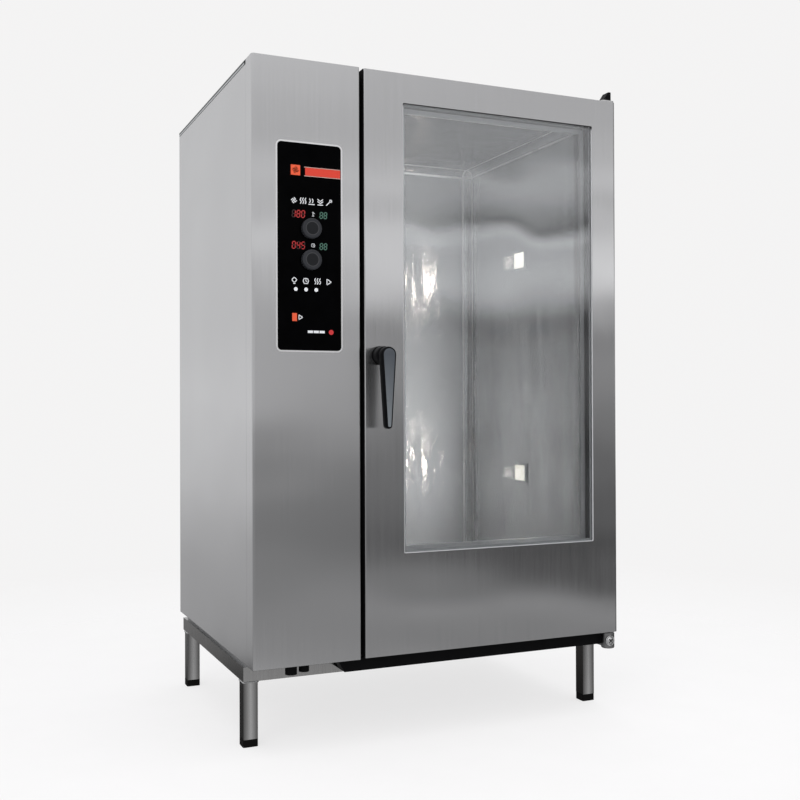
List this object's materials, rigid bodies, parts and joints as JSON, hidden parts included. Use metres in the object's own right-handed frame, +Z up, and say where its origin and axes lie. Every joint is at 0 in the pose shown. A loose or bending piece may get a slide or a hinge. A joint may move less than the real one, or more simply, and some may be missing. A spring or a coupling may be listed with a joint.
{
  "type": "combi steamer oven",
  "caption": "Floor-standing combi steamer oven with a full-height hinged glass door, lever handle, control column with knobs, and an open frame on levelling feet.",
  "frame": {"origin": "on the floor, at the centre of the oven's outline", "axes": "+Z up, +X to the right seen from the front, the door faces -Y"},
  "size_m": [1.14, 0.974, 1.873],
  "materials": {
    "black_plastic": "black moulded plastic",
    "black_rubber": "black silicone rubber",
    "bright_stainless": "bright cavity sheet",
    "brushed_stainless": "vertical brushed stainless sheet",
    "cast_steel": "cast hinge",
    "circuit_board": "circuit board",
    "contactor_grey": "grey moulded cases",
    "door_glass": "tempered door glass",
    "element_sheath": "heat-tinted element sheath",
    "fastener_steel": "stainless fasteners",
    "foot_plastic": "black moulded plastic",
    "frame_tube": "square stainless tube",
    "galvanised_sheet": "plain inner sheet",
    "inner_door_glass": "tempered inner glass",
    "insulation_wool": "mineral wool",
    "knob_grey": "dark grey moulded knob",
    "lamp_glass": "frosted lamp glass",
    "lever_grey": "blue-grey moulded lever",
    "machined_steel": "machined steel",
    "motor_cast": "cast motor housing",
    "panel_glass": "black printed control glass",
    "satin_steel": "satin steel",
    "valve_plastic": "water valve body"
  },
  "bodies": {
    "casing": {"back_panel": "galvanised_sheet", "base_pan": "galvanised_sheet", "cable_gland": "black_plastic", "cavity_front_frame": "bright_stainless", "cavity_gasket": "black_rubber", "cavity_liner": "bright_stainless", "column_bulkhead": "galvanised_sheet", "column_front_panel": "brushed_stainless", "control_bezel": "satin_steel", "control_glass": "panel_glass", "cooling_fan_frame": "black_plastic", "display_board": "circuit_board", "drain_grate": "satin_steel", "drain_pipe": "satin_steel", "drip_gutter": "black_plastic", "fan_baffle": "bright_stainless", "fan_motors": "motor_cast", "fasteners": "fastener_steel", "frame_legs": "frame_tube", "frame_rails": "frame_tube", "heating_elements": "element_sheath", "hinge_cap": "black_plastic", "insulation": "insulation_wool", "lamp_housings": "satin_steel", "lamp_lenses": "lamp_glass", "latch_keeper": "satin_steel", "left_side_panel": "brushed_stainless", "lower_hinge_bracket": "cast_steel", "power_components": "contactor_grey", "right_side_panel": "brushed_stainless", "steam_generator": "satin_steel", "steam_pipe": "satin_steel", "top_cover": "galvanised_sheet", "trolley_guides": "satin_steel", "underside_grommets": "black_rubber", "upper_hinge_bracket": "satin_steel", "vent_actuator": "contactor_grey", "vent_pipe": "satin_steel", "water_valves": "valve_plastic"},
    "door": {"door_skin": "brushed_stainless", "door_inner_frame": "bright_stainless", "door_glass_seal": "black_rubber", "door_outer_glass": "door_glass", "handle_rosette": "black_plastic", "hinge_bushings": "machined_steel"},
    "handle": {"handle_lever": "lever_grey", "handle_spindle": "machined_steel"},
    "bolt": {"latch_bolt": "machined_steel"},
    "inner_pane": {"inner_glass": "inner_door_glass", "inner_glass_frame": "black_plastic"},
    "upper_knob": {"knob_upper": "knob_grey"},
    "lower_knob": {"knob_lower": "knob_grey"},
    "upper_fan": {"fan_impeller_upper": "bright_stainless"},
    "lower_fan": {"fan_impeller_lower": "bright_stainless"},
    "cooling_rotor": {"cooling_fan_rotor": "black_plastic"},
    "flap": {"vent_flap": "satin_steel"},
    "foot_front_left": {"foot_front_left": "foot_plastic"},
    "foot_back_left": {"foot_back_left": "foot_plastic"},
    "foot_front_right": {"foot_front_right": "foot_plastic"},
    "foot_back_right": {"foot_back_right": "foot_plastic"}
  },
  "joints": [
    {"name": "door_hinge", "type": "hinge", "parent": "casing", "child": "door", "pos_m": [0.55, -0.387, 1.038], "axis": [0, 0, 1], "range_deg": [0, 120]},
    {"name": "handle_turn", "type": "hinge", "parent": "door", "child": "handle", "pos_m": [-0.212, -0.415, 1.058], "axis": [0, -1, 0], "range_deg": [0, 90]},
    {"name": "bolt_slide", "type": "slide", "parent": "door", "child": "bolt", "axis": [1, 0, 0], "range_m": [0, 0.008]},
    {"name": "inner_pane_hinge", "type": "hinge", "parent": "door", "child": "inner_pane", "pos_m": [0.484, -0.355, 1.136], "axis": [0, 0, -1], "range_deg": [0, 60]},
    {"name": "upper_knob_turn", "type": "hinge", "parent": "casing", "child": "upper_knob", "pos_m": [-0.409, -0.415, 1.391], "axis": [0, -1, 0], "continuous": true},
    {"name": "lower_knob_turn", "type": "hinge", "parent": "casing", "child": "lower_knob", "pos_m": [-0.409, -0.415, 1.308], "axis": [0, -1, 0], "continuous": true},
    {"name": "upper_fan_spin", "type": "hinge", "parent": "casing", "child": "upper_fan", "pos_m": [-0.2, 0.026, 1.412], "axis": [1, 0, 0], "continuous": true},
    {"name": "lower_fan_spin", "type": "hinge", "parent": "casing", "child": "lower_fan", "pos_m": [-0.2, 0.026, 0.694], "axis": [1, 0, 0], "continuous": true},
    {"name": "cooling_fan_spin", "type": "hinge", "parent": "casing", "child": "cooling_rotor", "pos_m": [-0.42, -0.18, 0.23], "axis": [0, 0, 1], "continuous": true},
    {"name": "vent_flap_turn", "type": "hinge", "parent": "casing", "child": "flap", "pos_m": [0.3, 0.315, 1.848], "axis": [0, 1, 0], "range_deg": [0, 90]},
    {"name": "foot_front_left_level", "type": "slide", "parent": "casing", "child": "foot_front_left", "axis": [0, 0, -1], "range_m": [0, 0.03]},
    {"name": "foot_back_left_level", "type": "slide", "parent": "casing", "child": "foot_back_left", "axis": [0, 0, -1], "range_m": [0, 0.03]},
    {"name": "foot_front_right_level", "type": "slide", "parent": "casing", "child": "foot_front_right", "axis": [0, 0, -1], "range_m": [0, 0.03]},
    {"name": "foot_back_right_level", "type": "slide", "parent": "casing", "child": "foot_back_right", "axis": [0, 0, -1], "range_m": [0, 0.03]}
  ],
  "couplings": [
    {"joint": "bolt_slide", "follows": "handle_turn", "m_per_rad": 0.005093}
  ]
}
